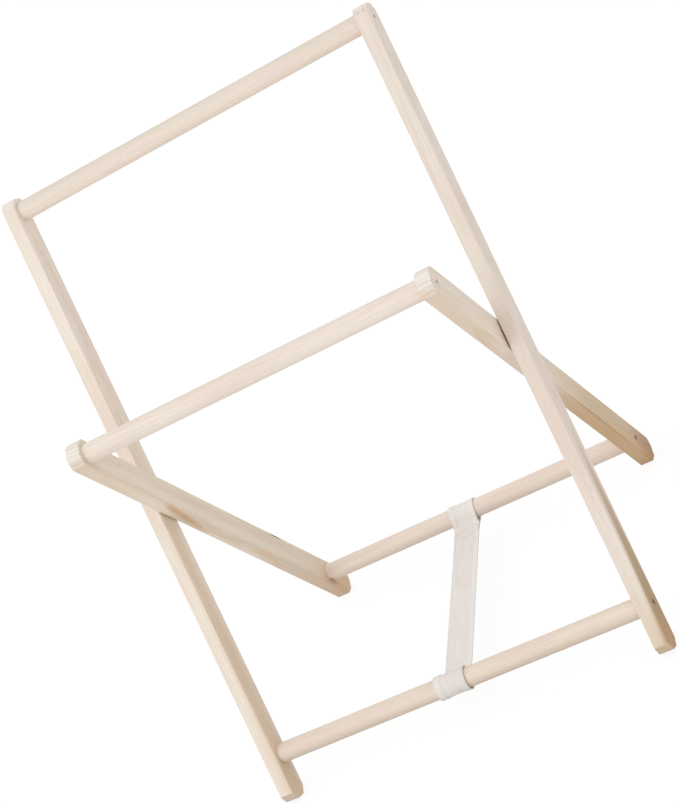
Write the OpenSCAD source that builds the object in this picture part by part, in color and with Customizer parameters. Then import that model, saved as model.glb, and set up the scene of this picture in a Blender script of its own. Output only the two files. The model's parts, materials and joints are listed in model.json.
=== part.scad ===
// Folding X-frame clothes stand: a long frame and a short frame of pale wood, crossed and pivoted,
// held open by a cotton strap between the two lower rails.
// X runs along the rails, Y to the rear and Z up. The origin is on the floor, under the middle.

/* [Frames] */
// Clear width between the two long bars
frame_w = 600; // [450:5:800]
// Angle between the two frames when the strap is taut
open_angle = 60; // [48:1:72]
// Gap between a long bar and the short bar beside it
frame_gap = 2; // [1.5:0.5:4]
// Long bar, from the pivot down to the foot
long_foot = 485; // [440:5:520]
// Long bar, from the pivot up to the top end
long_top = 505; // [400:5:600]
// Short bar, from the pivot down to the foot
short_foot = 526; // [480:2:560]
// Short bar, from the pivot up to the top end
short_top = 239; // [160:1:320]

/* [Bars] */
// Thickness of every bar, along the rails
bar_t = 22; // [19:0.5:28]
// Width of every bar, front to back
bar_w = 43; // [36:0.5:54]
// Chamfer that clips both corners of every bar end
end_chamfer = 12; // [6:0.5:16]
// Rounding of the long edges
edge_r = 1.5; // [0.5:0.25:4]

/* [Rails] */
// Diameter of the four round rails
rail_d = 30; // [24:0.5:34]
// Rail centre to the top end of its bars
rail_top_inset = 21; // [17:0.5:40]
// Rail centre to the foot end of its bars
rail_foot_inset = 70; // [50:1:100]
// Chamfer on the rim of each rail end
rail_rim = 0.5; // [0.25:0.25:3]

/* [Pivots] */
// Diameter of the hidden pivot pins
pin_d = 8; // [6:0.5:10]
// Depth of a pin in each bar
pin_depth = 14; // [8:0.5:16]
// Chamfer on the pin ends
pin_rim = 0.6; // [0.3:0.1:1]
// Radial play of a pin in the long bar, where it is driven in
pin_seat_play = 0.02; // [0.01:0.01:0.05]
// Radial play of a pin in the short bar, where it turns
pivot_play = 0.06; // [0.02:0.01:0.1]
// Outer diameter of the washers between the bars
washer_d = 22; // [16:0.5:30]
// Air left between a washer and the short bar
washer_play = 0.2; // [0.1:0.05:0.3]
// Spare depth at the bottom of every blind hole
hole_spare = 1; // [0.5:0.25:2]

/* [Rail screws] */
// Diameter of the countersunk head
head_d = 10; // [9:0.25:12]
// Straight rim of the head, above its cone
head_rim = 0.8; // [0.4:0.1:1.5]
// Depth of the head's top face below the bar's outer face
head_sink = 0.4; // [0.2:0.1:1]
// Diameter of the smooth neck that passes through the bar
neck_d = 7; // [6:0.25:8]
// Diameter of the shank in the rail
shank_d = 6; // [4:0.25:6.5]
// Overall length of a screw
screw_len = 60; // [45:1:80]
// Length of the pointed tip
tip_len = 4; // [2:0.5:8]
// Hex socket, across flats
socket_w = 4; // [3:0.5:5]
// Depth of the hex socket
socket_depth = 3.2; // [2:0.2:4]
// Radial play round a screw
screw_play = 0.05; // [0.02:0.01:0.1]

/* [Strap] */
// Width of the cotton strap
strap_w = 46; // [30:1:60]
// Thickness of the strap, two layers of canvas
strap_t = 2; // [1.2:0.1:3]
// Middle of the strap on the front rail, from the middle of the stand
strap_front_x = -4; // [-60:1:60]
// Middle of the strap on the rear rail, from the middle of the stand
strap_rear_x = -15; // [-60:1:60]
// Air between a loop and its rail
loop_play = 0.3; // [0.2:0.05:0.6]
// Where the folded-back end lies down on the strap, from the rail centre
seam_start = 24; // [22:0.5:34]
// Length of the sewn double layer
seam_len = 22; // [12:1:40]

/* [Hidden] */
$fn = 64;

// Past a face that a cut goes through
over = 1;
wood = [0.91, 0.83, 0.74];
shaded_wood = [0.84, 0.75, 0.64];
rail_wood = [0.93, 0.86, 0.78];
steel = [0.62, 0.63, 0.65];
cotton = [0.93, 0.90, 0.86];

// Both feet stand on the edge where the end face meets its inner chamfer
foot_edge = bar_w / 2 - end_chamfer;
// The tilt of the long bars that puts those edges on one level, from long_foot cos(a) + foot_edge sin(a)
// = short_foot cos(b) + foot_edge sin(b), where a + b is the open angle
tilt_up = long_foot - short_foot * cos(open_angle) - foot_edge * sin(open_angle);
tilt_across = short_foot * sin(open_angle) - foot_edge * (1 + cos(open_angle));
long_tilt = atan2(tilt_up, tilt_across);
short_tilt = open_angle - long_tilt;

// Distances of the rails from the pivot, along the bars
top_rail_u = long_top - rail_top_inset;
front_rail_u = -(long_foot - rail_foot_inset);
middle_rail_u = short_top - rail_top_inset;
rear_rail_u = -(short_foot - rail_foot_inset);

// Faces across the stand, from the middle
long_inner_x = frame_w / 2;
long_outer_x = long_inner_x + bar_t;
short_outer_x = long_inner_x - frame_gap;
short_inner_x = short_outer_x - bar_t;

// A point given along a bar (u, up) and across it (v, to the rear), in the side view (Y, Z) from the pivot
function on_long(u, v) = [v * cos(long_tilt) + u * sin(long_tilt), u * cos(long_tilt) - v * sin(long_tilt)];
function on_short(u, v) = [v * cos(short_tilt) - u * sin(short_tilt), u * cos(short_tilt) + v * sin(short_tilt)];

// Corners of a bar's side outline, as u and v
function outline(top, foot) = [for (end = [[top, -1], [-foot, 1]], side = [-1, 1], k = [0, 1])
    [end[0] + end[1] * k * end_chamfer, side * (bar_w / 2 - (1 - k) * end_chamfer)]];

corners = concat([for (c = outline(long_top, long_foot)) on_long(c[0], c[1])],
    [for (c = outline(short_top, short_foot)) on_short(c[0], c[1])]);
corner_y = [for (c = corners) c[0]];
corner_z = [for (c = corners) c[1]];
pivot_y = -(min(corner_y) + max(corner_y)) / 2;
pivot_z = -min(corner_z);

// Middle lines of the two lower rails, in the side view
front_axis = on_long(front_rail_u, 0) + [pivot_y, pivot_z];
rear_axis = on_short(rear_rail_u, 0) + [pivot_y, pivot_z];
strap_run = rear_axis - front_axis;
strap_span = norm(strap_run);
strap_tilt = atan2(strap_run[1], strap_run[0]);

// The strap's middle line round a rail
loop_r = rail_d / 2 + loop_play + strap_t / 2;
// Where the folded-back end leaves the rail, above the level of the rail's axis
leave_angle = 10;
loop_steps = 36;
fall_steps = 8;
loop_end = seam_start + seam_len;

// Side view of a loop: a half-way point of an arc is at radius r, the web runs off along +x below the rail
function arc(r) = [for (k = [0:loop_steps])
    let (a = -90 - k * (270 - leave_angle) / loop_steps) [r * cos(a), r * sin(a)]];
function bezier(p, s) = pow(1 - s, 3) * p[0] + 3 * s * pow(1 - s, 2) * p[1]
    + 3 * s * s * (1 - s) * p[2] + pow(s, 3) * p[3];
function bezier_way(p, s) = pow(1 - s, 2) * (p[1] - p[0]) + 2 * s * (1 - s) * (p[2] - p[1])
    + s * s * (p[3] - p[2]);
// The folded-back end falls from the rail to the strap in an S
fall = let (from = loop_r * [cos(leave_angle), sin(leave_angle)], to = [seam_start, strap_t - loop_r],
    way = [sin(leave_angle), -cos(leave_angle)], reach = (seam_start - from[0]) * 0.9)
    [from, from + way * loop_r * 0.55, to - [reach, 0], to];
// A line beside the fall, off to its outer side
function beside_fall(off) = [for (k = [1:fall_steps])
    let (s = k / fall_steps, way = bezier_way(fall, s)) bezier(fall, s) + off * [-way[1], way[0]] / norm(way)];

// Places a shape drawn round the pivot, with the bar's length along Z
module in_long_frame() translate([0, pivot_y, pivot_z]) rotate([-long_tilt, 0, 0]) children();
module in_short_frame() translate([0, pivot_y, pivot_z]) rotate([short_tilt, 0, 0]) children();

// Turns a drawing in the plane into the side view, raised along X
module raise_along_x(length) rotate([90, 0, 90]) linear_extrude(length) children();

// Turns a revolved shape from Z to X
module point_to_x() rotate([0, 90, 0]) children();

module on_side(side) {
    if (side < 0) mirror([1, 0, 0]) children();
    else children();
}

// Rectangle with rounded corners
module rounded_section(w, h, r) {
    square([w - 2 * r, h], center = true);
    square([w, h - 2 * r], center = true);
    for (x = [-1, 1], y = [-1, 1]) translate([x * (w / 2 - r), y * (h / 2 - r)]) circle(r);
}

// The corner of a bar end that the chamfer takes away, drawn as v and u
module clipped_corner(end_u, up, side) {
    v = side * bar_w / 2;
    inner_v = side * (bar_w / 2 - end_chamfer - over);
    inner_u = end_u - up * (end_chamfer + over);
    polygon([[v + side * over, end_u + up * over], [inner_v, end_u + up * over], [v + side * over, inner_u]]);
}

// A bar with its inner face at x = 0: rounded long edges and clipped end corners
module bar(top, foot) {
    difference() {
        translate([bar_t / 2, 0, -foot]) linear_extrude(top + foot) rounded_section(bar_t, bar_w, edge_r);
        translate([-over, 0, 0]) raise_along_x(bar_t + 2 * over) {
            for (side = [-1, 1]) clipped_corner(top, 1, side);
            for (side = [-1, 1]) clipped_corner(-foot, -1, side);
        }
    }
}

// Side of a screw as radius and depth, with its head's top face at 0 and its tip below
function screw_side(play, cap) = [[0, cap], [head_d / 2 + play, cap], [head_d / 2 + play, -head_rim],
    [neck_d / 2 + play, -head_rim - (head_d - neck_d) / 2], [neck_d / 2 + play, -bar_t + head_sink],
    [shank_d / 2 + play, -bar_t + head_sink], [shank_d / 2 + play, -screw_len + tip_len],
    [shank_d / 4 + play, -screw_len], [0, -screw_len]];

// A screw that points to -X, with its head's top face at x = 0
module screw() {
    difference() {
        point_to_x() rotate_extrude() polygon(screw_side(0, 0));
        translate([-socket_depth, 0, 0]) point_to_x()
            cylinder(h = socket_depth + over, r = socket_w / 2 / cos(30), $fn = 6);
    }
}

// The hole for it through a bar and into a rail
module screw_hole() {
    point_to_x() rotate_extrude() polygon(screw_side(screw_play, head_sink + over));
    translate([-screw_len - hole_spare, 0, 0]) point_to_x() cylinder(h = tip_len + hole_spare, d = shank_d / 2);
}

// A long bar on the right: rail screws from outside, a blind pivot hole from inside
module long_bar(side) {
    color(wood) on_side(side) in_long_frame() difference() {
        translate([long_inner_x, 0, 0]) bar(long_top, long_foot);
        for (u = [top_rail_u, front_rail_u]) translate([long_outer_x - head_sink, 0, u]) screw_hole();
        translate([long_inner_x - over, 0, 0]) point_to_x()
            cylinder(h = pin_depth + hole_spare + over, r = pin_d / 2 + pin_seat_play);
    }
}

// A short bar on the right: rail screws and the blind pivot hole are both in its outer face
module short_bar(side) {
    color(shaded_wood) on_side(side) in_short_frame() difference() {
        translate([short_inner_x, 0, 0]) bar(short_top, short_foot);
        for (u = [middle_rail_u, rear_rail_u]) translate([short_outer_x - head_sink, 0, u]) screw_hole();
        translate([short_outer_x - pin_depth - hole_spare, 0, 0]) point_to_x()
            cylinder(h = pin_depth + hole_spare + over, r = pin_d / 2 + pivot_play);
    }
}

// A round rail between two bars, bored at both ends for its screws
module rail(half_length, outer_x) {
    side_line = [[0, 0], [rail_d / 2 - rail_rim, 0], [rail_d / 2, rail_rim],
        [rail_d / 2, 2 * half_length - rail_rim], [rail_d / 2 - rail_rim, 2 * half_length], [0, 2 * half_length]];
    color(rail_wood) difference() {
        translate([-half_length, 0, 0]) point_to_x() rotate_extrude() polygon(side_line);
        for (side = [-1, 1]) on_side(side) translate([outer_x - head_sink, 0, 0]) screw_hole();
    }
}

module long_rail(u) in_long_frame() translate([0, 0, u]) rail(long_inner_x, long_outer_x);
module short_rail(u) in_short_frame() translate([0, 0, u]) rail(short_inner_x, short_outer_x);

module long_screw(side, u) color(steel) on_side(side) in_long_frame()
    translate([long_outer_x - head_sink, 0, u]) screw();
module short_screw(side, u) color(steel) on_side(side) in_short_frame()
    translate([short_outer_x - head_sink, 0, u]) screw();

// A pin that joins a long bar to a short bar, hidden in both
module pivot_pin(side) {
    length = 2 * pin_depth + frame_gap;
    side_line = [[0, 0], [pin_d / 2 - pin_rim, 0], [pin_d / 2, pin_rim], [pin_d / 2, length - pin_rim],
        [pin_d / 2 - pin_rim, length], [0, length]];
    color(steel) on_side(side) in_long_frame() translate([short_outer_x - pin_depth, 0, 0])
        point_to_x() rotate_extrude() polygon(side_line);
}

// The washer that keeps the bars apart, against the long bar
module pivot_washer(side) {
    thick = frame_gap - washer_play;
    color(steel) on_side(side) in_long_frame() translate([long_inner_x - thick, 0, 0]) point_to_x() difference() {
        cylinder(h = thick, d = washer_d);
        translate([0, 0, -over]) cylinder(h = thick + 2 * over, r = pin_d / 2 + pin_seat_play);
    }
}

// Places a shape drawn with the front rail at the origin and the strap running along +Y
module along_strap() translate([0, front_axis[0], front_axis[1]]) rotate([strap_tilt, 0, 0]) children();

// A strap end wrapped round its rail, folded back and sewn down on the strap
module strap_loop() {
    top = strap_t * 1.5 - loop_r;
    translate([-strap_w / 2, 0, 0]) raise_along_x(strap_w) difference() {
        polygon(concat([[loop_end, -loop_r - strap_t / 2]], arc(loop_r + strap_t / 2),
            beside_fall(strap_t / 2), [[loop_end, top]]));
        polygon(concat(arc(loop_r - strap_t / 2), beside_fall(-strap_t / 2)));
    }
}

module strap_front_loop() color(cotton) along_strap() translate([strap_front_x, 0, 0]) strap_loop();
module strap_rear_loop() color(cotton) along_strap() translate([strap_rear_x, strap_span, 0])
    mirror([0, 1, 0]) strap_loop();

// The taut stretch under the two rails, which runs a little askew
module strap_web() {
    half = strap_w / 2;
    near = loop_end;
    far = strap_span - loop_end;
    color(cotton) along_strap() translate([0, 0, -loop_r - strap_t / 2]) linear_extrude(strap_t)
        polygon([[strap_front_x - half, near], [strap_front_x + half, near],
            [strap_rear_x + half, far], [strap_rear_x - half, far]]);
}

long_bar(-1);  // long_bar_left
long_bar(1);  // long_bar_right
short_bar(-1);  // short_bar_left
short_bar(1);  // short_bar_right
long_rail(top_rail_u);  // top_rail
long_rail(front_rail_u);  // front_rail
short_rail(middle_rail_u);  // middle_rail
short_rail(rear_rail_u);  // rear_rail
long_screw(-1, top_rail_u);  // top_rail_screw_left
long_screw(1, top_rail_u);  // top_rail_screw_right
long_screw(-1, front_rail_u);  // front_rail_screw_left
long_screw(1, front_rail_u);  // front_rail_screw_right
short_screw(-1, middle_rail_u);  // middle_rail_screw_left
short_screw(1, middle_rail_u);  // middle_rail_screw_right
short_screw(-1, rear_rail_u);  // rear_rail_screw_left
short_screw(1, rear_rail_u);  // rear_rail_screw_right
pivot_pin(-1);  // pivot_pin_left
pivot_pin(1);  // pivot_pin_right
pivot_washer(-1);  // pivot_washer_left
pivot_washer(1);  // pivot_washer_right
strap_web();
strap_front_loop();
strap_rear_loop();
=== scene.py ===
# %% [markdown]
# # A folding clothes stand of bare pine
#
# The stand is two frames of pine battens and round rails that cross like an X. The long frame carries the
# top rail, the short frame fits between its bars, and a cotton strap between the two lower rails holds the
# X open. The wooden and steel parts come from the CAD model with their exact shapes, so what is left to
# make here is their finish, the strap and the light. Everything is in metres, in the frame of the CAD model:
# X runs along the rails, Y to the rear and Z up, with the floor at 0.

# %% Load the CAD model
import json
from math import atan2, cos, degrees, pi, radians, sin

import bpy
import numpy as np
from mathutils import Matrix, Vector


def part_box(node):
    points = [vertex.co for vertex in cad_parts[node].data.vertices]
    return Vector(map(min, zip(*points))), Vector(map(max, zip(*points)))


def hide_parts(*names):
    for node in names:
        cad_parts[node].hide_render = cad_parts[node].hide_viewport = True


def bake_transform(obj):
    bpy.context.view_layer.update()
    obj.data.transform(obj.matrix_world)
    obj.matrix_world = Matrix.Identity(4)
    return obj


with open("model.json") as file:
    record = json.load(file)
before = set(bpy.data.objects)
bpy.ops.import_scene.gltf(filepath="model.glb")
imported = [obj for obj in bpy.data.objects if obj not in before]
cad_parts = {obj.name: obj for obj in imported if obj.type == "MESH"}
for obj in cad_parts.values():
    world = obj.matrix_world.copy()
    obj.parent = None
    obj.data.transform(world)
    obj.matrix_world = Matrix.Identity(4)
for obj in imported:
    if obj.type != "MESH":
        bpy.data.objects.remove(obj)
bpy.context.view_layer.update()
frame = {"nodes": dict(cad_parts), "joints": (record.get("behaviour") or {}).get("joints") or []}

MM = 0.001
print("pieces in the CAD model:", len(frame["nodes"]))

# %% [markdown]
# ## Two small tools
#
# Paint charts and photographs give colours as sRGB hex values, while a shader works in linear light, so one
# function turns the first into the second. Shader trees get long, and a second function keeps each node on
# one line. A name that starts with a capital letter is an input, any other name is a setting of the node,
# and values without a name fill the open inputs in order.

# %% Colour and node helpers
def linear(hex_colour):
    """sRGB to linear light: a power of 2.4 with a short straight part near black. Gives red, green, blue
    and alpha."""
    part = np.array([int(hex_colour[k:k + 2], 16) for k in (1, 3, 5)]) / 255
    return (*np.where(part <= 0.04045, part / 12.92, ((part + 0.055) / 1.055) ** 2.4), 1.0)


def add(tree, kind, *values, stops=(), **named):
    """Adds a node. A value may be a number, a vector, a hex colour, a socket, or a node, whose first output
    is used."""
    made = tree.nodes.new("ShaderNode" + kind)
    for name, value in named.items():
        if name[0].islower():
            setattr(made, name, value)
    if stops:
        ramp = made.color_ramp.elements
        ramp[0].position, ramp[-1].position = stops[0][0], stops[-1][0]
        for place, _ in stops[1:-1]:
            ramp.new(place)
        for element, (_, colour) in zip(ramp, stops):
            element.color = linear(colour)
    links = [*zip([s for s in made.inputs if s.enabled], values)]
    links += [(made.inputs[n.replace("_", " ")], v) for n, v in named.items() if n[0].isupper()]
    for socket, value in links:
        if isinstance(value, bpy.types.Node):
            value = next(s for s in value.outputs if s.enabled)
        if isinstance(value, bpy.types.NodeSocket):
            tree.links.new(value, socket)
        elif value is not None:
            socket.default_value = linear(value) if isinstance(value, str) else value
    return made


def new_material(name):
    """An empty material with its output node, which takes the shader."""
    material = bpy.data.materials.new(name)
    material.use_nodes = True
    material.node_tree.nodes.clear()
    return material, material.node_tree


print("white is", linear("#FFFFFF"))

# %% [markdown]
# ## The camera
#
# The picture was taken from the front, from the right and from above, through a long lens, and it is rolled
# by about 36 degrees, so the stand seems to lean. A camera can be turned by hand until it fits. Here its
# place, the point that it looks at, its roll and its lens were worked out from the directions of the bars
# and rails, and the turn follows from them with three cross products.

# %% Camera
CAMERA_AT = Vector((1.1028, -2.49346, 1.65127))
AIM_AT = Vector((0.02409, -0.02225, 0.4564))
ROLL = radians(35.5403)
LENS_MM = 91.4649

ahead = (AIM_AT - CAMERA_AT).normalized()
level = ahead.cross(Vector((0, 0, 1))).normalized()
upright = level.cross(ahead)
up = upright * cos(ROLL) + level * sin(ROLL)

camera_data = bpy.data.cameras.new("camera")
camera_data.lens = LENS_MM
camera = bpy.data.objects.new("camera", camera_data)
turned = Matrix((ahead.cross(up), up, -ahead)).transposed()
camera.matrix_world = Matrix.Translation(CAMERA_AT) @ turned.to_4x4()
bpy.context.scene.collection.objects.link(camera)
bpy.context.scene.camera = camera
bpy.context.scene.view_settings.view_transform = "Standard"
print("camera distance in m:", round((AIM_AT - CAMERA_AT).length, 3))

# %% [markdown]
# ## Floor, surroundings and lamps
#
# The stand was photographed on white, under very soft light from the upper left. A white ground could be
# made with strong light, but that would bleach the pale wood. Light Path keeps the two apart: the camera,
# and any ray that looks through gloss, meets plain white, while the wood is lit by a calmer ambient light, a
# floor that throws some of it back, and one large soft lamp. The floor throws back less close to the stand,
# where a real stand shades its own ground. A part of the floor's look for the camera is still lit in the
# common way, so that it keeps the stand's shadow.

# %% What the camera meets
def seen_plainly(tree):
    """1 for a ray from the camera or through gloss or glass, and 0 for a ray that lights the wood."""
    path = add(tree, "LightPath")
    seen = add(tree, "Math", path.outputs["Is Camera Ray"], path.outputs["Is Glossy Ray"], operation="MAXIMUM")
    return add(tree, "Math", seen, path.outputs["Is Transmission Ray"], operation="MAXIMUM")


print("plain white is for rays from the camera, through gloss and through glass")

# %% White surroundings
AMBIENT = 0.86
world = bpy.data.worlds.new("white_room")
bpy.context.scene.world = world
world.use_nodes = True
tree = world.node_tree
tree.nodes.clear()
strength = add(tree, "Mix", seen_plainly(tree), AMBIENT, 1.0)
sky = add(tree, "Background", "#FFFFFF", strength)
add(tree, "OutputWorld", sky)
print("ambient light:", AMBIENT)

# %% Floor that keeps a faint shadow
FLOOR_HALF = 20.0
SHADOW_SHARE = 0.16
SHADED_FROM, SHADED_TO = 0.1, 0.8
SHADED_FLOOR, OPEN_FLOOR = "#CCCAC7", "#F7F5F2"
floor_mesh = bpy.data.meshes.new("floor")
corners = np.array([(-1, -1, 0), (1, -1, 0), (1, 1, 0), (-1, 1, 0)]) * FLOOR_HALF
floor_mesh.from_pydata(corners.tolist(), [], [(0, 1, 2, 3)])
floor = bpy.data.objects.new("floor", floor_mesh)
bpy.context.scene.collection.objects.link(floor)

material, tree = new_material("white_paper_floor")
seen = seen_plainly(tree)
away = add(tree, "VectorMath", add(tree, "TexCoord").outputs["Object"], operation="LENGTH").outputs["Value"]
away = add(tree, "MapRange", away, SHADED_FROM, SHADED_TO, interpolation_type="SMOOTHSTEP")
bounce = add(tree, "BsdfDiffuse", add(tree, "Mix", away, SHADED_FLOOR, OPEN_FLOOR, data_type="RGBA"))
lit = add(tree, "BsdfDiffuse", "#FAFAFA")
plain = add(tree, "Emission", "#FFFFFF", 1.04)
paper = add(tree, "MixShader", SHADOW_SHARE, plain, lit)
above = add(tree, "MixShader", seen, bounce, paper)
below = add(tree, "BsdfTransparent")
side = add(tree, "NewGeometry").outputs["Backfacing"]
add(tree, "OutputMaterial", add(tree, "MixShader", side, above, below))
floor_mesh.materials.append(material)
print("floor width in m:", 2 * FLOOR_HALF)

# %% Soft lamp from the upper left, in front
LAMP_FROM = Vector((-0.75, -0.95, 0.95))
LAMP_STRENGTH = 0.6
LAMP_WIDTH = radians(40)
lamp_data = bpy.data.lights.new("soft_box", "SUN")
lamp_data.energy = LAMP_STRENGTH
lamp_data.angle = LAMP_WIDTH
lamp = bpy.data.objects.new("soft_box", lamp_data)
lamp.rotation_euler = LAMP_FROM.to_track_quat("Z", "Y").to_euler()
bpy.context.scene.collection.objects.link(lamp)
print("lamp height angle:", round(degrees(atan2(LAMP_FROM.z, LAMP_FROM.xy.length))))

# %% [markdown]
# ## Where each board lies
#
# Wood grain belongs to the board, and every bar leans, so a pattern needs the board's own directions. They
# follow from the frame itself: the pivot is the joint's place, and a bar's lean is the direction from the
# pivot to the middle of the rail that it carries. A board's place has x from its middle, y across it to the
# rear and z along it from the pivot, in millimetres.

# %% Places from the frame
fold = next(j for j in frame["joints"] if j["name"] == "fold")
pivot = Vector(fold["pos_m"])


def middle(node):
    """Middle of a node's box."""
    low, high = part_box(node)
    return (low + high) / 2


def lean(node):
    """Angle of the direction from the pivot to a rail, from upright, to the rear."""
    way = middle(node) - pivot
    return atan2(way.y, way.z)


def give_finish(node, finish):
    """Puts a material on a CAD node, in place of its plain one."""
    slots = frame["nodes"][node].data.materials
    slots.clear()
    slots.append(finish)


long_lean, short_lean = lean("top_rail"), lean("middle_rail")
front_rail, rear_rail = middle("front_rail"), middle("rear_rail")
print("the two frames lean by degrees:", round(degrees(long_lean), 2), round(degrees(short_lean), 2))

# %% [markdown]
# ## Bare pine
#
# The bars are planed and sanded Scots pine or fir, and the rails are the same wood, turned. Pine grows in
# rings of pale spring wood and darker summer wood, and a board cuts through them nearly lengthwise, so the
# eye sees long straight streaks, flames where the cut runs close to the tangent, an occasional knot, and
# rings on the cut ends. A wave texture could draw stripes, but they would not meet at the edges. Here the
# rings are real ones: the distance from a wandering pith beside the board, divided by the ring width. The
# same rings then run over all the faces and show as arcs on the end grain. The wood nearest the pith is the
# browner heartwood, drawn as a reach round it. On the top and front rails that reach is painted shade: it
# darkens the top of the top rail, which tones down its highlight, and the underside of the front rail. Bare
# sanded pine is matt, with a roughness near 0.6 and the usual index of refraction of 1.5.
#
# The table below holds what one board needs: colours of the wood, the place of the pith and how it drifts and
# sways along the board, the ring width, the heartwood's reach (on the top and front rails, the reach of painted
# shade), tones of the cut ends (darker at the foot, which is partly painted shade), a tint towards the foot,
# and marks. The sizes of the patterns follow it: how far each one runs across, through and along the board. All
# lengths are in millimetres.

# %% Size of the bars, for the end grain
BAR_HALF_W = 21.5
CHAMFER = 12.0
BAR_ENDS = {"long": (505.0, -485.0), "short": (239.0, -526.0)}
print("the bars' ends, in mm from the pivot:", BAR_ENDS)

# %% What a board has, unless it says otherwise
PINE = {
    "pale": "#F0E7DA",
    "rose": "#EADACD",
    "late": "#DCC2A4",
    "heart_and_shade": "#C9AA82",
    "end": "#EEE6DD",
    "foot_end_and_shade": "#D5C7B8",
    "clip": "#FFFFFF",
    "pith": (-40.0, 30.0),
    "drift": (0.0, 0.0),
    "sway": 12.0,
    "ring": 3.2,
    "grain": 0.5,
    "heart_and_shade_reach": 0.0,
    "heart_and_shade_soft": 8.0,
    "heart_and_shade_share": 0.9,
    "foot": "#FFFFFF",
    "foot_from": (-60.0, -480.0),
    "marks": (),
    "seed": 0.0,
    "ends": None,
}
print("things that a board can have of its own:", len(PINE))

# %% Sizes of the patterns in pine
SWAY = (120, 120, 260)
RAGGED = (5, 5, 90)
PATCH = (26, 26, 210)
FIBRE = (1.6, 1.6, 70)
CANAL = (1.1, 1.1, 17)
MOST_UNEVEN = 10.2
CANAL_TONE, END_RING_TONE = "#A97F58", "#E3D6CB"
CLIP_FROM, CLIP_TO = -12.0, -17.0


def per(sides):
    """One over each side: the scale at which a pattern's cells have these sides."""
    return tuple(1 / side for side in sides)


print("fibres drawn in mm:", FIBRE)

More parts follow.
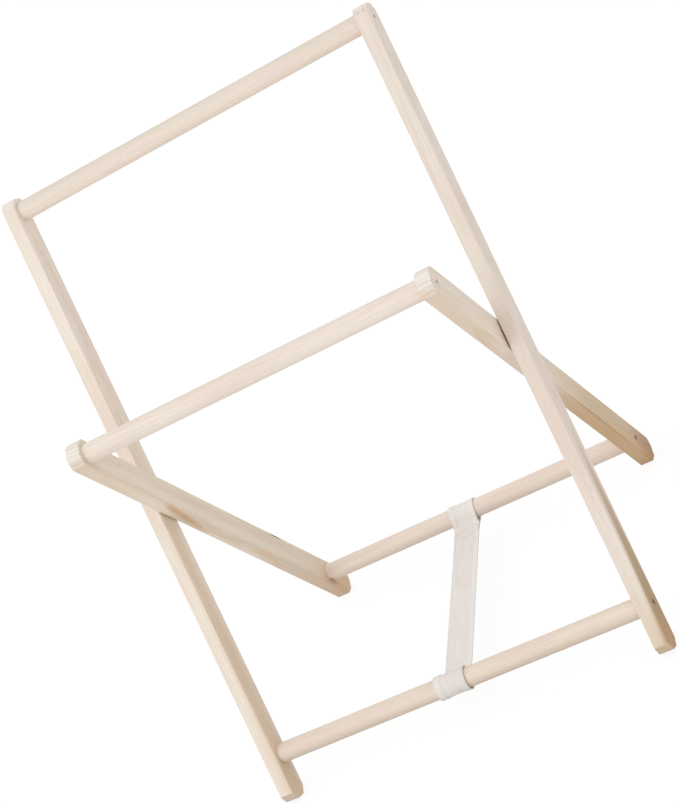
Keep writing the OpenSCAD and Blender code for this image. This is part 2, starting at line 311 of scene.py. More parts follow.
# %% Pine, as one function
def pine(name, place, turn, **own):
    """Bare pine in the board's own millimetres. Ring number = distance from the pith / ring width, where the
    pith is a line along the board that drifts and wanders, and marks push the rings aside."""
    board = {**PINE, **own}
    material, tree = new_material(name)
    at = add(tree, "TexCoord").outputs["Object"]
    mm = add(tree, "Mapping", at, vector_type="TEXTURE", Location=place, Rotation=turn, Scale=(MM, MM, MM))
    elsewhere = tuple(board["seed"] * step for step in (97, 61, 733))
    seeded = add(tree, "VectorMath", mm, elsewhere)

    # The pith wanders by a few millimetres over a hand's length
    slow = add(tree, "VectorMath", seeded, per(SWAY), operation="MULTIPLY")
    sway = add(tree, "TexNoise", slow, Scale=1.0, Detail=2.0).outputs["Color"]
    sway = add(tree, "VectorMath", sway, (0.5, 0.5, 0.5), operation="SUBTRACT")
    bent = add(tree, "VectorMath", sway, (board["sway"], board["sway"], 0.0), mm, operation="MULTIPLY_ADD")
    across = add(tree, "VectorMath", bent, (1.0, 0.0, -board["drift"][0]), operation="DOT_PRODUCT")
    through = add(tree, "VectorMath", bent, (0.0, 1.0, -board["drift"][1]), operation="DOT_PRODUCT")
    section = add(tree, "CombineXYZ", across.outputs["Value"], through.outputs["Value"])
    pith = (*board["pith"], 0.0)
    from_pith = add(tree, "VectorMath", section, pith, operation="DISTANCE").outputs["Value"]

    # Knots, streaks, stains and painted shade: how far a point is inside each one
    inside = []
    for centre, reach, colour, amount, push in board["marks"]:
        off = add(tree, "VectorMath", mm, centre, operation="SUBTRACT")
        off = add(tree, "VectorMath", off, per(reach), operation="MULTIPLY")
        off = add(tree, "VectorMath", off, operation="LENGTH").outputs["Value"]
        core = add(tree, "MapRange", off, 1.25, 0.15, 0.0, amount, interpolation_type="SMOOTHSTEP")
        inside.append((core, colour))
        if push:
            near = add(tree, "MapRange", off, 3.2, 0.4, 0.0, push, interpolation_type="SMOOTHSTEP")
            from_pith = add(tree, "Math", from_pith, near, operation="ADD")

    # Rings of uneven width, dark at the end of each summer
    ragged = add(tree, "VectorMath", seeded, per(RAGGED), operation="MULTIPLY")
    ragged = add(tree, "TexNoise", ragged, Scale=1.0, Detail=3.0)
    years = add(tree, "TexNoise", noise_dimensions="1D", Scale=0.11, Detail=1.0, W=from_pith)
    years = add(tree, "Math", years, min(board["ring"] * 3.0, MOST_UNEVEN), from_pith, operation="MULTIPLY_ADD")
    count = add(tree, "Math", years, 1 / board["ring"], operation="MULTIPLY")
    count = add(tree, "Math", ragged, 0.35, count, operation="MULTIPLY_ADD")
    year = add(tree, "Math", count, operation="FRACT")
    summer = add(tree, "ValToRGB", year, stops=[(0.0, "#5A5A5A"), (0.1, "#000000"), (0.45, "#1E1E1E"),
                                                (0.86, "#C8C8C8"), (0.94, "#FFFFFF"), (1.0, "#6E6E6E")])

    # Slow changes of tone, then the rings, then a darker reach round the pith: browner heartwood on the bars,
    # painted shade on the top and front rails
    patch = add(tree, "VectorMath", seeded, per(PATCH), operation="MULTIPLY")
    patch = add(tree, "TexNoise", patch, Scale=1.0, Detail=3.0)
    patch = add(tree, "MapRange", patch, 0.35, 0.65)
    colour = add(tree, "Mix", patch, board["pale"], board["rose"], data_type="RGBA")
    streak = add(tree, "Math", summer, board["grain"], operation="MULTIPLY")
    colour = add(tree, "Mix", streak, colour, board["late"], data_type="RGBA")
    reach, soft = board["heart_and_shade_reach"], board["heart_and_shade_soft"]
    heart_and_shade = add(tree, "MapRange", from_pith, reach + soft, reach - soft, 0.0, board["heart_and_shade_share"],
                interpolation_type="SMOOTHSTEP")
    colour = add(tree, "Mix", heart_and_shade, colour, board["heart_and_shade"], data_type="RGBA")

    # A tint that grows towards the foot
    z = add(tree, "SeparateXYZ", mm)
    foot = add(tree, "MapRange", z.outputs["Z"], *board["foot_from"], interpolation_type="SMOOTHSTEP")
    colour = add(tree, "Mix", foot, colour, board["foot"], data_type="RGBA", blend_type="MULTIPLY")

    # Fibres, 0.4 mm wide in real wood and drawn four times as wide, because finer ones vanish in the picture
    fibre = add(tree, "VectorMath", seeded, per(FIBRE), operation="MULTIPLY")
    fibre = add(tree, "TexNoise", fibre, Scale=1.0, Detail=4.0, Roughness=0.6)
    shade = add(tree, "MapRange", fibre, 0.3, 0.7, 0.955, 1.035)
    colour = add(tree, "VectorMath", colour, shade, operation="MULTIPLY")
    # Resin canals: short brown dashes, 0.3 mm wide in real wood and drawn about 0.8 mm wide
    canal = add(tree, "VectorMath", seeded, per(CANAL), operation="MULTIPLY")
    canal = add(tree, "TexNoise", canal, Scale=1.0, Detail=1.0)
    canal = add(tree, "MapRange", canal, 0.70, 0.80, 0.0, 0.35)
    colour = add(tree, "Mix", canal, colour, CANAL_TONE, data_type="RGBA")

    for core, dark in inside:
        broken = add(tree, "MapRange", fibre, 0.25, 0.6, 0.55, 1.0)
        core = add(tree, "Math", core, broken, operation="MULTIPLY")
        colour = add(tree, "Mix", core, colour, dark, data_type="RGBA")

    # Cut ends: the fibres stand on end there, so they drink light and the rings stand out
    if board["ends"]:
        top, low = board["ends"]
        centre, half_length = (top + low) / 2, (top - low) / 2
        long_way = add(tree, "Math", z.outputs["Z"], centre, operation="SUBTRACT")
        long_way = add(tree, "Math", long_way, operation="ABSOLUTE")
        to_end = add(tree, "Math", long_way, half_length, operation="SUBTRACT")
        wide = add(tree, "Math", z.outputs["Y"], operation="ABSOLUTE")
        to_clip = add(tree, "Math", long_way, wide, operation="ADD")
        to_clip = add(tree, "Math", to_clip, half_length + BAR_HALF_W - CHAMFER, operation="SUBTRACT")
        end = add(tree, "Math", to_end, to_clip, operation="MAXIMUM")
        end = add(tree, "MapRange", end, -0.5, -0.1)
        at_top = add(tree, "Math", z.outputs["Z"], centre, operation="GREATER_THAN")
        # The foot ends are darker than the tops, which is painted shade where they face the floor; on the short
        # bars they are browner too
        cut = add(tree, "Mix", at_top, board["foot_end_and_shade"], board["end"], data_type="RGBA")
        # The saw leaves the front clipped corner of a top end a little browner
        clipped = add(tree, "MapRange", z.outputs["Y"], CLIP_FROM, CLIP_TO)
        clipped = add(tree, "Math", clipped, at_top, operation="MULTIPLY")
        cut = add(tree, "Mix", clipped, cut, board["clip"], data_type="RGBA", blend_type="MULTIPLY")
        rings = add(tree, "Math", summer, 0.6, operation="MULTIPLY")
        cut = add(tree, "Mix", rings, cut, END_RING_TONE, data_type="RGBA", blend_type="MULTIPLY")
        colour = add(tree, "Mix", end, colour, cut, data_type="RGBA")

    relief = add(tree, "Math", summer, 0.4, fibre, operation="MULTIPLY_ADD")
    bump = add(tree, "Bump", Strength=0.35, Distance=0.0003, Height=relief)
    rough = add(tree, "MapRange", fibre, 0.3, 0.7, 0.66, 0.52)
    wood = add(tree, "BsdfPrincipled", Base_Color=colour, Roughness=rough, Normal=bump, IOR=1.5)
    add(tree, "OutputMaterial", wood)
    return material


print("pine finish ready")

# %% [markdown]
# ## One board, one grain
#
# Each bar and rail was cut from another place of the log, so each gets its own pith, ring width and marks.
# The left short bar carries a streak of orange resin and a soft yellowish knot on its front edge, a small dark
# spot on its upper edge, a stain at its foot, and painted shade on its inner face under the end of the rear
# rail.
# The heartwood of the left long bar lies under its inner face. The right bars come from beside the heart and
# turn brown towards their feet, and the right short bar has painted shade on its outer face at the pivot. The
# rear rail has painted shade at its left end, and on the top and front rails the reach round the pith is
# painted
# shade. A mark is an ellipsoid: its middle, its half lengths, its colour, how strongly it covers the wood, and
# how far it pushes the rings aside.

# %% Bars
# The orange (#CB9757) serves for resin and also as painted shade at the right short bar's pivot. The mid brown
# (#A8703E) is painted shade where the rear rail meets the left short bar, and browns the right short bar's
# foot.
KNOT, RESIN_AND_SHADE, BROWN_AND_SHADE, DARK = "#DDB679", "#CB9757", "#A8703E", "#4A3423"
bars = {
    "long_bar_left": dict(
        pith=(46.0, -8.0), drift=(0.02, 0.0), ring=3.4, grain=0.34, seed=1.0,
        heart_and_shade="#D5B081", heart_and_shade_reach=35.5, heart_and_shade_soft=9.5, heart_and_shade_share=0.56),
    "long_bar_right": dict(
        pale="#EBE1D6", rose="#E5D6CB", late="#D9C1A8", pith=(52.0, 0.0), drift=(0.0455, 0.0), ring=3.0,
        grain=0.38, sway=6.0, seed=2.0, heart_and_shade="#B69B77", heart_and_shade_reach=32.0, heart_and_shade_soft=4.5, heart_and_shade_share=1.0,
        foot="#F8F2E4", foot_from=(-340.0, -470.0), foot_end_and_shade="#D3BEA3", clip="#F4F1EF",
        marks=[((11.0, 0.0, -476.0), (4.0, 40.0, 44.0), "#D29F76", 0.5, 0.0)]),
    "short_bar_left": dict(
        pale="#EEE2D1", rose="#E7D6C5", late="#D3B590", pith=(6.0, 95.0), drift=(0.0, 0.01), ring=7.0,
        grain=0.42, sway=5.0, seed=3.0,
        foot="#FAF0E3", foot_from=(-300.0, -520.0), foot_end_and_shade="#D2AB82", clip="#F6ECE2",
        marks=[((8.0, -21.5, 8.0), (7.0, 5.0, 22.0), RESIN_AND_SHADE, 0.6, 0.0),
               ((5.0, -21.5, -16.0), (7.0, 5.0, 30.0), RESIN_AND_SHADE, 0.65, 0.0),
               ((1.5, -21.5, -48.0), (8.0, 5.0, 34.0), RESIN_AND_SHADE, 0.7, 0.0),
               ((-4.0, -21.5, -82.0), (8.0, 5.0, 34.0), RESIN_AND_SHADE, 0.45, 0.0),
               ((5.0, -21.5, -246.0), (9.0, 7.0, 42.0), KNOT, 0.5, 1.2),
               ((11.0, 19.8, -290.0), (2.2, 2.4, 21.0), DARK, 0.95, 0.0),
               ((11.0, -6.0, -485.0), (6.0, 32.0, 60.0), "#CB965A", 0.34, 0.0),
               # Painted shade on the inner face, under the end of the rear rail
               ((11.0, -12.0, -469.0), (4.0, 5.0, 12.0), BROWN_AND_SHADE, 0.6, 0.0)]),
    "short_bar_right": dict(
        pale="#ECE1D3", rose="#E6D6C9", late="#D3B696", pith=(2.0, -58.0), drift=(0.0, -0.04), ring=7.0,
        grain=0.44, sway=7.0, seed=4.0, heart_and_shade="#E9C496", heart_and_shade_reach=29.0, heart_and_shade_soft=6.0, heart_and_shade_share=0.5,
        foot="#E9DDC8", foot_from=(-60.0, -300.0), foot_end_and_shade="#C0955E", clip="#F6ECE2",
        marks=[((10.5, -21.5, -290.0), (1.8, 2.0, 170.0), "#9A6A42", 0.5, 0.0),
               ((0.0, -24.0, 150.0), (18.0, 10.0, 150.0), "#DDC09A", 0.4, 0.0),
               # Painted shade on the outer face at the pivot, in the gap between the two right bars
               ((11.0, -6.0, 12.0), (3.0, 20.0, 24.0), RESIN_AND_SHADE, 0.5, 0.0),
               ((11.0, 0.0, -525.0), (6.0, 34.0, 95.0), BROWN_AND_SHADE, 0.78, 0.0),
               ((0.0, -21.5, -540.0), (30.0, 20.0, 60.0), "#A8622C", 0.35, 0.0)]),
}
leans = {"long": long_lean, "short": short_lean}
for node, own in bars.items():
    kind = node.split("_")[0]
    place = Vector((middle(node).x, pivot.y, pivot.z))
    turn = (-leans[kind], 0.0, 0.0)
    give_finish(node, pine("sanded_pine_" + node, place, turn, ends=BAR_ENDS[kind], **own))
    print(node, "at x =", round(place.x, 3))

# %% Rails
# On the top and front rails the reach round the pith is painted shade: it darkens the top of the top rail,
# which tones down its highlight, and the underside of the front rail
rails = {
    "top_rail": dict(pale="#F3E8DA", rose="#EDDED1", pith=(-45.0, -8.0), ring=2.6, seed=5.0, heart_and_shade="#DED2C4",
                     heart_and_shade_reach=38.0, heart_and_shade_soft=13.0),
    "front_rail": dict(pale="#EBDDCD", rose="#E4D2C4", pith=(45.0, -8.0), ring=3.0, seed=6.0, heart_and_shade="#DCCCBB",
                       heart_and_shade_reach=46.0, heart_and_shade_soft=8.0),
    "middle_rail": dict(pale="#F0E6DA", rose="#E9DBCF", pith=(34.0, 12.0), ring=2.8, seed=7.0),
    "rear_rail": dict(pale="#F2E5D6", rose="#EBD9CC", pith=(-26.0, -24.0), ring=3.2, seed=8.0,
                      # Painted shade on the rail's lower front at its left end, where it meets the left short
                      # bar
                      marks=[((7.0, -13.4, -273.0), (7.0, 6.0, 8.0), BROWN_AND_SHADE, 0.8, 0.0)]),
}
for node, own in rails.items():
    turn = (0.0, pi / 2, 0.0)
    give_finish(node, pine("turned_pine_" + node, middle(node), turn, late="#DBC2A8", grain=0.25, **own))
    print(node, "at y, z =", round(middle(node).y, 3), round(middle(node).z, 3))

# %% [markdown]
# ## Screws, pins and washers
#
# The rail screws are zinc-plated furniture screws, sunk just below the wood, with a hex socket. Zinc plating
# is a pale grey metal with a fine haze and faint turning lines round the head. The two lower pairs are drawn
# dull, darker and brownish. The pivot pins and washers are bare turned steel, a little darker and smoother. All
# are plain metals: metallic 1 with the default index of refraction, and the roughness tells them apart. The
# turning lines are rings round the screw's own axis, which runs along X.

# %% Metal
def turned_metal(name, axis_at, colour, wear_and_edge_shade, rough, line_mm):
    """Metal with turning lines: height = a sine of the distance from the axis, broken by noise."""
    material, tree = new_material(name)
    at = add(tree, "TexCoord").outputs["Object"]
    mm = add(tree, "Mapping", at, vector_type="TEXTURE", Location=axis_at, Scale=(MM, MM, MM))
    flat = add(tree, "VectorMath", mm, (0.0, 1.0, 1.0), operation="MULTIPLY")
    out = add(tree, "VectorMath", flat, operation="LENGTH").outputs["Value"]
    line = add(tree, "Math", out, 2 * pi / line_mm, operation="MULTIPLY")
    line = add(tree, "Math", line, operation="SINE")
    haze = add(tree, "TexNoise", mm, Scale=1.4, Detail=4.0)
    tone = add(tree, "Mix", haze, colour, wear_and_edge_shade, data_type="RGBA")
    height = add(tree, "Math", line, 0.5, haze, operation="MULTIPLY_ADD")
    bump = add(tree, "Bump", Strength=0.2, Distance=0.0001, Height=height)
    dull = add(tree, "MapRange", haze, 0.3, 0.7, rough - 0.06, rough + 0.08)
    metal = add(tree, "BsdfPrincipled", Base_Color=tone, Metallic=1.0, Roughness=dull, Normal=bump)
    add(tree, "OutputMaterial", metal)
    return material


# Turning lines are about 0.1 mm apart on the real metal, and are drawn 0.5 and 0.6 mm apart to show
ZINC = dict(colour="#E0DFDA", wear_and_edge_shade="#CFCEC8", rough=0.34, line_mm=0.6)
DULL_ZINC = dict(colour="#85796A", wear_and_edge_shade="#645A4D", rough=0.34, line_mm=0.6)
STEEL = dict(colour="#8D8D8E", wear_and_edge_shade="#74736F", rough=0.28, line_mm=0.5)
for node in frame["nodes"]:
    if "screw" in node:
        zinc = ZINC if node.startswith(("top", "middle")) else DULL_ZINC
        finish = turned_metal("zinc_plated_steel_" + node, middle(node), **zinc)
    elif "pivot" in node:
        finish = turned_metal("turned_steel_" + node, middle(node), **STEEL)
    else:
        continue
    give_finish(node, finish)
    print(node, finish.name)

# %% [markdown]
# ## The strap's path
#
# The strap is one band of cotton canvas, folded to three layers at its hems. Each end goes round a lower
# rail from below, comes back over the near side and is sewn down on the band. A cloth simulation would
# settle it, but it is a taut flat strap, so it is modelled directly: its middle line in the side view is a
# straight run under both rails, an arc round each rail, and an S-shaped fall to the seam. The line is drawn
# once, for the front rail, and mirrored for the rear one.

# %% Middle line of the strap, in mm from the front rail
STRAP_W, STRAP_T = 46.0, 1.9
# The middle of the ring is a rail's radius, a small gap and half a band away from the rail's axis, and the flap
# lies one band above the stretch. The CAD model's band is 2.0 mm thick, and this one 1.9 mm between its hems
RAIL_R, LOOP_GAP, CAD_STRAP_T = 15.0, 0.3, 2.0
LOOP_R = RAIL_R + LOOP_GAP + CAD_STRAP_T / 2
FLAP_LEVEL = CAD_STRAP_T - LOOP_R
# Where the band leaves its ring, and the handles of the curve from there to the seam, as shares of the ring's
# radius and of the way across
LEAVE, DROP_SHARE, GLIDE_SHARE = radians(10), 0.55, 0.9
SEAM_FROM, SEAM_TO = 24.0, 46.0
STATION_STEP = 1.4

run = (rear_rail - front_rail) / MM
SPAN = Vector((run.y, run.z)).length
strap_tilt = atan2(run.z, run.y)


def spread(points, step):
    """Points at even distances along a line of points, by linear interpolation on its running length."""
    length = np.concatenate([[0.0], np.cumsum(np.linalg.norm(np.diff(points, axis=0), axis=1))])
    at = np.linspace(0, length[-1], int(length[-1] / step) + 1)
    return np.stack([np.interp(at, length, points[:, k]) for k in (0, 1)], 1)


def half_loop():
    """Free end, seam, S-shaped rise (a cubic Bezier curve), and an arc over the rail to its lowest point."""
    leave = LOOP_R * np.array([cos(LEAVE), sin(LEAVE)])
    way = np.array([sin(LEAVE), -cos(LEAVE)])
    land = np.array([SEAM_FROM, FLAP_LEVEL])
    reach = (SEAM_FROM - leave[0]) * GLIDE_SHARE
    s = np.linspace(0, 1, 40)[:, None]
    controls = [leave, leave + way * LOOP_R * DROP_SHARE, land - [reach, 0.0], land]
    weights = [(1 - s) ** 3, 3 * s * (1 - s) ** 2, 3 * s * s * (1 - s), s ** 3]
    fall = sum(w * c for w, c in zip(weights, controls))
    turn = np.linspace(LEAVE, 1.5 * pi, 120)[1:]
    arc = LOOP_R * np.stack([np.cos(turn), np.sin(turn)], 1)
    return np.concatenate([[[SEAM_TO, FLAP_LEVEL]], fall[::-1], arc])


front_half = half_loop()
rear_half = (front_half * [-1, 1] + [SPAN, 0])[::-1]
line = spread(np.concatenate([front_half, rear_half]), STATION_STEP)
way = np.gradient(line, axis=0)
way /= np.linalg.norm(way, axis=1)[:, None]
side_of = np.stack([-way[:, 1], way[:, 0]], 1)
along = np.concatenate([[0.0], np.cumsum(np.linalg.norm(np.diff(line, axis=0), axis=1))])
print("strap: span", round(SPAN, 1), "mm, cut length", round(along[-1], 1), "mm,", len(line), "stations")

# %% [markdown]
# ## The strap's surface
#
# The surface is a closed section carried along that line. A point's place is the line's place, plus the
# distance across the band along X, plus its height off the band's middle along the line's normal. Canvas is
# not sheet metal, so the loops stand a little off their rails. The front one is pulled a little wider than the
# band, with its hem raised on the left and a fold on the right, and the rear one lifts at both edges. Both gape
# on their right where they leave the rail. Each face has a step where a hem ends, and the band's free ends are
# pressed thin, onto the stretch that they are sewn to.

# %% Where the band lies along X
FRONT_X, REAR_X = -5.0, -15.5
FRONT_RING_SHIFT, REAR_RING_SHIFT = 4.6, 2.8
FRONT_RING_WIDER = 0.1
FRONT_RING_Y, REAR_RING_Z = (34, 6), (-12, 12)


def smooth(x, low, high):
    """Smoothstep: 0 below low, 1 above high, with a cubic between them."""
    t = np.clip((x - low) / (high - low), 0, 1)
    return t * t * (3 - 2 * t)


def band_middle_x(y, z):
    """The strap runs a little askew: straight between the two seams. The front ring is shifted a few mm
    sideways as a whole, the rear ring only where it passes over its rail."""
    web = FRONT_X + (REAR_X - FRONT_X) * np.clip((y - SEAM_TO) / (SPAN - 2 * SEAM_TO), 0, 1)
    front_shift = FRONT_RING_SHIFT * smooth(y, *FRONT_RING_Y)
    return web + front_shift + REAR_RING_SHIFT * smooth(z, *REAR_RING_Z) * (y > SPAN / 2)


print("middle of the band at the front and the rear seam:", FRONT_X, REAR_X)

# %% How the loops stand off their rails
# All in mm, across the band from its middle. A slope has its lift and the places where it starts and ends, and
# a hump has its lift, the place of its top and its width
FRONT_HEM, REAR_LEFT, REAR_RIGHT = (0.7, -9.5, -14), (0.7, -8, -22), (0.8, 10, 21)
RIDGE, HIGH_RIDGE, FOLD = (0.3, -7.0, 2.5), (0.35, 6.0, 1.5), (0.5, 15.0, 3.5)
GAPE_AT, GAPE_HIGH, GAPE_LOW, REAR_GAPE_LOW = (12, 23), 1.3, 1.5, 1.6


def slope(across, lift, start, end):
    """A lift that grows smoothly from start to end."""
    return lift * smooth(across, start, end)


def hump(across, lift, top, width):
    """A lift like a bell: exp of minus the square of the distance from its top / its width."""
    return lift * np.exp(-((across - top) / width) ** 2)


def slack(station, across):
    """How far the band stands off its line, away from the rail: a sum of slopes and humps. Some are only high
    or low on the ring, and all fade out where the band leaves its rail."""
    y, z = line[station, 0], line[station, 1]
    in_front = station < len(line) / 2
    from_rail = np.where(in_front, y, SPAN - y)
    angle = np.arctan2(z, from_rail)
    on_rail = smooth(np.hypot(z, from_rail), LOOP_R + 9, LOOP_R + 1)
    high = smooth(np.sin(angle), -0.9, 0.2)
    low = smooth(np.sin(angle), 0.9, -0.6)
    gape = smooth(across, *GAPE_AT)
    ridges = hump(across, *RIDGE) + hump(across, *HIGH_RIDGE) * high
    front = slope(across, *FRONT_HEM) + ridges + hump(across, *FOLD)
    front = front + (GAPE_HIGH * high + GAPE_LOW * low) * gape
    rear = high * (slope(across, *REAR_LEFT) + slope(across, *REAR_RIGHT))
    rear = rear + REAR_GAPE_LOW * low * gape * (y > SPAN / 2) * (y < SPAN - 2)
    return on_rail * np.where(in_front, front, rear)


def band_point(station, across, height):
    """Place in mm, in the stand's frame, of a point of the band: along its line, across it, and up from its
    middle along the line's normal. The three are arrays of one shape."""
    lift = height - slack(station, across)
    y = line[station, 0] + side_of[station, 0] * lift
    z = line[station, 1] + side_of[station, 1] * lift
    wider = 1 + FRONT_RING_WIDER * smooth(line[station, 0], *FRONT_RING_Y)
    x = band_middle_x(line[station, 0], line[station, 1]) + across * wider
    back = y * cos(strap_tilt) - z * sin(strap_tilt)
    up_by = y * sin(strap_tilt) + z * cos(strap_tilt)
    return np.stack([x, back + front_rail.y / MM, up_by + front_rail.z / MM], -1)


print("on its right the front ring gapes by", GAPE_HIGH, "mm above and", GAPE_LOW, "mm below")

# %% Surface of the strap
HEM_TOP, HEM_UNDER, HEM_STEP = 12.0, -11.0, 0.35
TAPER, TIP_SHARE = 7.0, 0.15
half_w, half_t = STRAP_W / 2, STRAP_T / 2
rounding = np.sin(np.linspace(0, pi / 2, 5))
edge = half_w - half_t + half_t * rounding
flat = np.linspace(-half_w + half_t, half_w - half_t, 33)[1:-1]
hems = np.concatenate([HEM_TOP + np.linspace(-0.8, 0.8, 5), HEM_UNDER + np.linspace(-0.8, 0.8, 5)])
cross = np.unique(np.round(np.concatenate([-edge, flat, hems, edge]), 4))
round_off = np.sqrt(np.clip(1 - (np.clip(np.abs(cross) - (half_w - half_t), 0, None) / half_t) ** 2, 0, 1))
upper = half_t * round_off + HEM_STEP * smooth(cross, HEM_TOP - 0.5, HEM_TOP + 0.5) * round_off
lower = -half_t * round_off - HEM_STEP * smooth(cross, HEM_UNDER + 0.5, HEM_UNDER - 0.5) * round_off
across = np.concatenate([cross[::-1], cross[1:-1]])
height = np.concatenate([upper[::-1], lower[1:-1]])

stations = np.arange(len(line))
to_tip = np.minimum(along, along[-1] - along)
tip = (TIP_SHARE + (1 - TIP_SHARE) * smooth(to_tip, 0, TAPER))[:, None]
grid = band_point(*np.broadcast_arrays(stations[:, None], across[None, :]), height * tip + half_t * (1 - tip))
print("section of", len(across), "points, surface of", grid.shape[0] * grid.shape[1], "points")

# %% [markdown]
# The grid becomes a mesh whose faces join each point to the next one round the section and along the band.
# Both free ends are closed with narrow faces from the upper side to the under side, with a triangle at each
# corner, where the two sides meet in one point. The order of a face's corners decides which way it looks, and
# all of these look outward. The UV map holds real millimetres, along and across the band, so the weave follows
# every fold.

# %% Mesh of the strap
def put_in_scene(name, points, groups, uv=None):
    """A mesh object at the origin from points in metres. groups holds arrays of faces, each with one number of
    corners, and uv has one pair for each point."""
    mesh = bpy.data.meshes.new(name)
    mesh.from_pydata(points.tolist(), [], [face for group in groups for face in group.tolist()])
    mesh.polygons.foreach_set("use_smooth", np.ones(len(mesh.polygons), bool))
    if uv is not None:
        corners = np.concatenate([group.ravel() for group in groups])
        layer = mesh.uv_layers.new(name="cloth_mm")
        layer.data.foreach_set("uv", uv[corners].astype(np.float32).ravel())
    mesh.update()
    piece = bpy.data.objects.new(name, mesh)
    bpy.context.scene.collection.objects.link(piece)
    return piece


rows, columns = grid.shape[:2]
i, j = np.meshgrid(np.arange(rows - 1), np.arange(columns), indexing="ij")
after = (j + 1) % columns
quads = np.stack([i * columns + j, (i + 1) * columns + j, (i + 1) * columns + after, i * columns + after], -1)
quads = quads.reshape(-1, 4)
k = np.arange(len(cross))
below_k = (columns - k) % columns
cap = np.stack([k[:-1], k[1:], below_k[1:], below_k[:-1]], -1)
cap_corners = np.array([cap[0, :3], cap[-1, [0, 1, 3]]])
cap = cap[1:-1]
far_end = (rows - 1) * columns
groups = [quads, cap, cap[:, ::-1] + far_end, cap_corners, cap_corners[:, ::-1] + far_end]
uv = np.stack([np.repeat(along, columns), np.tile(across, rows)], -1)
strap = put_in_scene("cotton_strap", grid.reshape(-1, 3) * MM, groups, uv)
print("strap faces:", len(strap.data.polygons))

# %% [markdown]
# ## Stitches
#
# Two rows of stitches hold each folded end, and one row runs along the inner edge of each hem. A row could
# be a texture, but thread stands proud of the cloth and catches light, so each stitch is a short capsule
# that dips into the cloth at both ends. Real stitches are 3 mm long in 0.4 mm thread, and the thread is drawn
# 0.8 mm thick so that it shows. Each one has a few dozen faces.

# %% Stitches as one mesh
THREAD_R, STITCH, STITCH_GAP = 0.4, 3.0, 1.2
SEAM_ROWS, ROW_END = (2.5, 19.0), 21.0
TOP_ROW, UNDER_ROW = HEM_TOP + 1.6, HEM_UNDER - 1.6


def stitch_row(start, end, lift):
    """Middle lines of the stitches on a row from start to end, given as (station, across) pairs. A stitch
    stands on the cloth in its middle and dips into it by the fourth power of the way to each of its ends."""
    start, end = np.array(start, float), np.array(end, float)
    step = np.array([along[-1] / (len(line) - 1), 1.0])
    count = max(int(np.linalg.norm((end - start) * step) / (STITCH + STITCH_GAP)), 1)
    share = (np.arange(count) + 0.5) / count
    half = 0.5 * STITCH / np.linalg.norm((end - start) * step)
    s = np.linspace(-1, 1, 7)
    place = start + (end - start) * (share[:, None] + s[None, :] * half)[..., None]
    rise = lift + np.sign(lift) * (THREAD_R * 0.5 - 0.75 * THREAD_R * (s ** 4))
    return place, np.broadcast_to(rise, place.shape[:2])


def at_any_station(place, rise):
    """Points of the band between two stations, by linear interpolation of both."""
    low = np.clip(place[..., 0].astype(int), 0, len(line) - 2)
    part = (place[..., 0] - low)[..., None]
    return (1 - part) * band_point(low, place[..., 1], rise) + part * band_point(low + 1, place[..., 1], rise)


def station_at(distance):
    """Station, as a number with a fraction, at a distance in mm along the band."""
    return distance / along[-1] * (len(line) - 1)


below_front_rail = (along <= along[-1] / 2) & (line[:, 1] <= 0)
loop_end = station_at(along[np.argmin(np.where(below_front_rail, np.abs(line[:, 0]), np.inf))])
last = len(line) - 1
top_face, under_face = half_t, -half_t
stitch_rows = []
for near, mirror in ((0.0, 1), (last, -1)):
    for off in SEAM_ROWS:
        at = near + mirror * station_at(off)
        stitch_rows.append(stitch_row((at, -ROW_END), (at, ROW_END), under_face))
web_from, web_to = loop_end + station_at(SEAM_TO + 1), last - loop_end - station_at(SEAM_TO + 1)
for row, lift in ((TOP_ROW, top_face + HEM_STEP), (TOP_ROW, under_face), (UNDER_ROW, under_face - HEM_STEP)):
    stitch_rows.append(stitch_row((web_from, row), (web_to, row), lift))
for near, mirror in ((0.0, 1), (last, -1)):
    ends = near + mirror * station_at(4), near + mirror * (loop_end - station_at(2))
    stitch_rows.append(stitch_row((ends[0], UNDER_ROW), (ends[1], UNDER_ROW), under_face - HEM_STEP))
print("rows of stitches:", len(stitch_rows), "with the front ring's lowest station at", round(loop_end, 1))

# %% Thread round each middle line
middles = np.concatenate([at_any_station(place, rise) for place, rise in stitch_rows])
heading = np.gradient(middles, axis=1)
heading /= np.linalg.norm(heading, axis=2)[..., None]
guide = np.where(np.abs(heading[..., :1]) > 0.9, [0.0, 1.0, 0.0], [1.0, 0.0, 0.0])
first = np.cross(heading, guide)
first /= np.linalg.norm(first, axis=2)[..., None]
second = np.cross(heading, first)
SIDES = 5
turn = np.arange(SIDES) * 2 * pi / SIDES
thin = THREAD_R * np.array([0.35, 0.85, 1.0, 1.0, 1.0, 0.85, 0.35])
rim = first[:, :, None] * np.cos(turn)[:, None] + second[:, :, None] * np.sin(turn)[:, None]
points = middles[:, :, None] + rim * thin[None, :, None, None]
number, rings = points.shape[:2]
i, j = np.meshgrid(np.arange(rings - 1), np.arange(SIDES), indexing="ij")
after = (j + 1) % SIDES
one = np.stack([i * SIDES + j, i * SIDES + after, (i + 1) * SIDES + after, (i + 1) * SIDES + j], -1)
one = one.reshape(-1, 4)
base = np.arange(number)[:, None, None] * rings * SIDES
sides = (one[None] + base).reshape(-1, 4)
lids = np.stack([np.arange(SIDES)[::-1], np.arange(SIDES) + (rings - 1) * SIDES])
lids = (lids[None] + base).reshape(-1, SIDES)
stitches = put_in_scene("strap_stitches", points.reshape(-1, 3) * MM, [sides, lids])
print("stitches:", number)

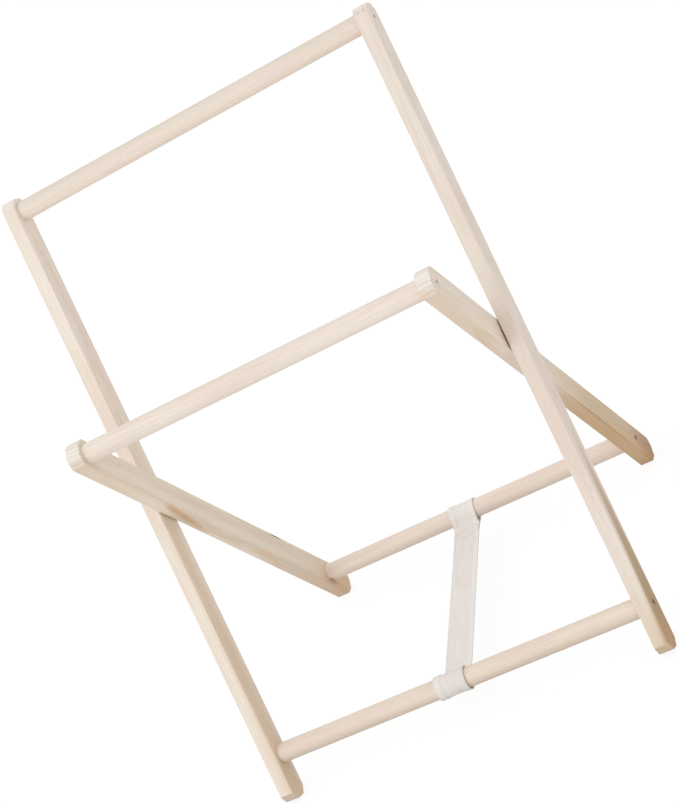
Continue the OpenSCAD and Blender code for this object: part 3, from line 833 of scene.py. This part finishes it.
# %% [markdown]
# ## Cotton canvas
#
# Unbleached cotton canvas is an off-white plain weave: each weft thread goes over one warp thread and under
# the next. To the eye it is matt and a little warm, with slubs that run along the band and a soft haze of
# fibre ends at the edges, which the sheen gives. The weave is worked out from the UV map: two sines, one for
# each thread direction, and a checker of their signs tells which one lies on top. Threads are about 0.5 mm
# wide in real canvas, and are drawn 1.1 mm wide so that they show.

# %% Canvas material
THREAD_MM = 1.1
SLUB = (45, 9, 9)
# The second tone is painted shade along the band's left edge, the third painted shade on the front loop, and
# the fourth painted light on the rear loop
HEM_TONE, EDGE_SHADE_TONE, FRONT_LOOP_SHADE_TONE, REAR_LOOP_LIGHT_TONE = "#F4EFEB", "#DDD5CD", "#DAD1CA", "#FCF7F2"
# Places in mm: across the band from its middle, then along it from its front end
SHADED_EDGE, FRONT_LOOP_SHADE_WIDTH = (-19.0, -22.0), (-20.0, 20.0)
FRONT_LOOP_END, REAR_LOOP_START, REAR_LOOP_END = (120.0, 100.0), (550.0, 580.0), (655.0, 610.0)


def canvas(name, cloth, slub, woven):
    """Plain weave: height = the higher of the two thread profiles, chosen by the sign of sin(u) sin(v)."""
    material, tree = new_material(name)
    uv_at = add(tree, "UVMap", uv_map="cloth_mm") if woven else add(tree, "TexCoord").outputs["Object"]
    scale = (1.0, 1.0, 1.0) if woven else per((MM, MM, MM))
    mm = add(tree, "VectorMath", uv_at, scale, operation="MULTIPLY")
    slow = add(tree, "VectorMath", mm, per(SLUB), operation="MULTIPLY")
    slow = add(tree, "TexNoise", slow, Scale=1.0, Detail=3.0)
    tone = add(tree, "MapRange", slow, 0.35, 0.7)
    colour = add(tree, "Mix", tone, cloth, slub, data_type="RGBA")
    split = add(tree, "SeparateXYZ", mm)
    if woven:
        hem = add(tree, "MapRange", split.outputs["Y"], HEM_TOP - 0.5, HEM_TOP + 1.0)
        colour = add(tree, "Mix", hem, colour, HEM_TONE, data_type="RGBA")
        # Painted shade along the band's rounded left edge
        wear_and_edge_shade = add(tree, "MapRange", split.outputs["Y"], *SHADED_EDGE, 0.0, 0.35)
        colour = add(tree, "Mix", wear_and_edge_shade, colour, EDGE_SHADE_TONE, data_type="RGBA")
        # The front loop is painted darker than the stretch towards its right edge: painted shade where the loop
        # gapes off its rail
        front_loop_shade = add(tree, "MapRange", split.outputs["Y"], *FRONT_LOOP_SHADE_WIDTH, 0.0, 0.5)
        looped = add(tree, "MapRange", split.outputs["X"], *FRONT_LOOP_END)
        front_loop_shade = add(tree, "Math", front_loop_shade, looped, operation="MULTIPLY")
        colour = add(tree, "Mix", front_loop_shade, colour, FRONT_LOOP_SHADE_TONE, data_type="RGBA")
        # The rear loop is painted lighter than the stretch: painted light
        rear_loop_light = add(tree, "MapRange", split.outputs["X"], *REAR_LOOP_START, 0.0, 0.45)
        before_seam = add(tree, "MapRange", split.outputs["X"], *REAR_LOOP_END)
        rear_loop_light = add(tree, "Math", rear_loop_light, before_seam, operation="MULTIPLY")
        colour = add(tree, "Mix", rear_loop_light, colour, REAR_LOOP_LIGHT_TONE, data_type="RGBA")
    warp = add(tree, "Math", split.outputs["X"], pi / THREAD_MM, operation="MULTIPLY")
    warp = add(tree, "Math", warp, operation="SINE")
    weft = add(tree, "Math", split.outputs["Y"], pi / THREAD_MM, operation="MULTIPLY")
    weft = add(tree, "Math", weft, operation="SINE")
    over = add(tree, "Math", warp, weft, operation="MULTIPLY")
    over = add(tree, "Math", over, 0.0, operation="GREATER_THAN")
    warp = add(tree, "Math", warp, operation="ABSOLUTE")
    weft = add(tree, "Math", weft, operation="ABSOLUTE")
    weave = add(tree, "Mix", over, warp, weft)
    fuzz = add(tree, "TexNoise", mm, Scale=2.2, Detail=4.0)
    height = add(tree, "Math", fuzz, 0.5, weave, operation="MULTIPLY_ADD")
    # Painted shade in the low places of the weave, and a faint painted highlight on the threads' tops
    weave_shade = add(tree, "MapRange", weave, 0.0, 0.8, 0.9, 1.02)
    colour = add(tree, "VectorMath", colour, weave_shade, operation="MULTIPLY")
    bump = add(tree, "Bump", Strength=0.5, Distance=0.0003, Height=height)
    cotton = add(tree, "BsdfPrincipled", Base_Color=colour, Roughness=0.9, Normal=bump, IOR=1.5,
                 Sheen_Weight=0.12, Sheen_Roughness=0.5, Specular_IOR_Level=0.25)
    add(tree, "OutputMaterial", cotton)
    return material


strap.data.materials.append(canvas("unbleached_cotton_canvas", "#F3EDE8", "#EDE5DF", True))
stitches.data.materials.append(canvas("cotton_sewing_thread", "#F2ECE6", "#EAE2DB", False))
print("canvas thread in mm:", THREAD_MM)

# %% [markdown]
# ## The strap in place of the CAD solids
#
# On the real stand the front loop stays with the long frame, the rear loop with the short frame, and the
# stretch between them bends as the stand folds. Here the strap is built open only, and it stands for the three
# plain solids of the CAD model, which are hidden.


for piece in (strap, stitches):
    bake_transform(piece)
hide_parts("strap_web", "strap_front_loop", "strap_rear_loop")
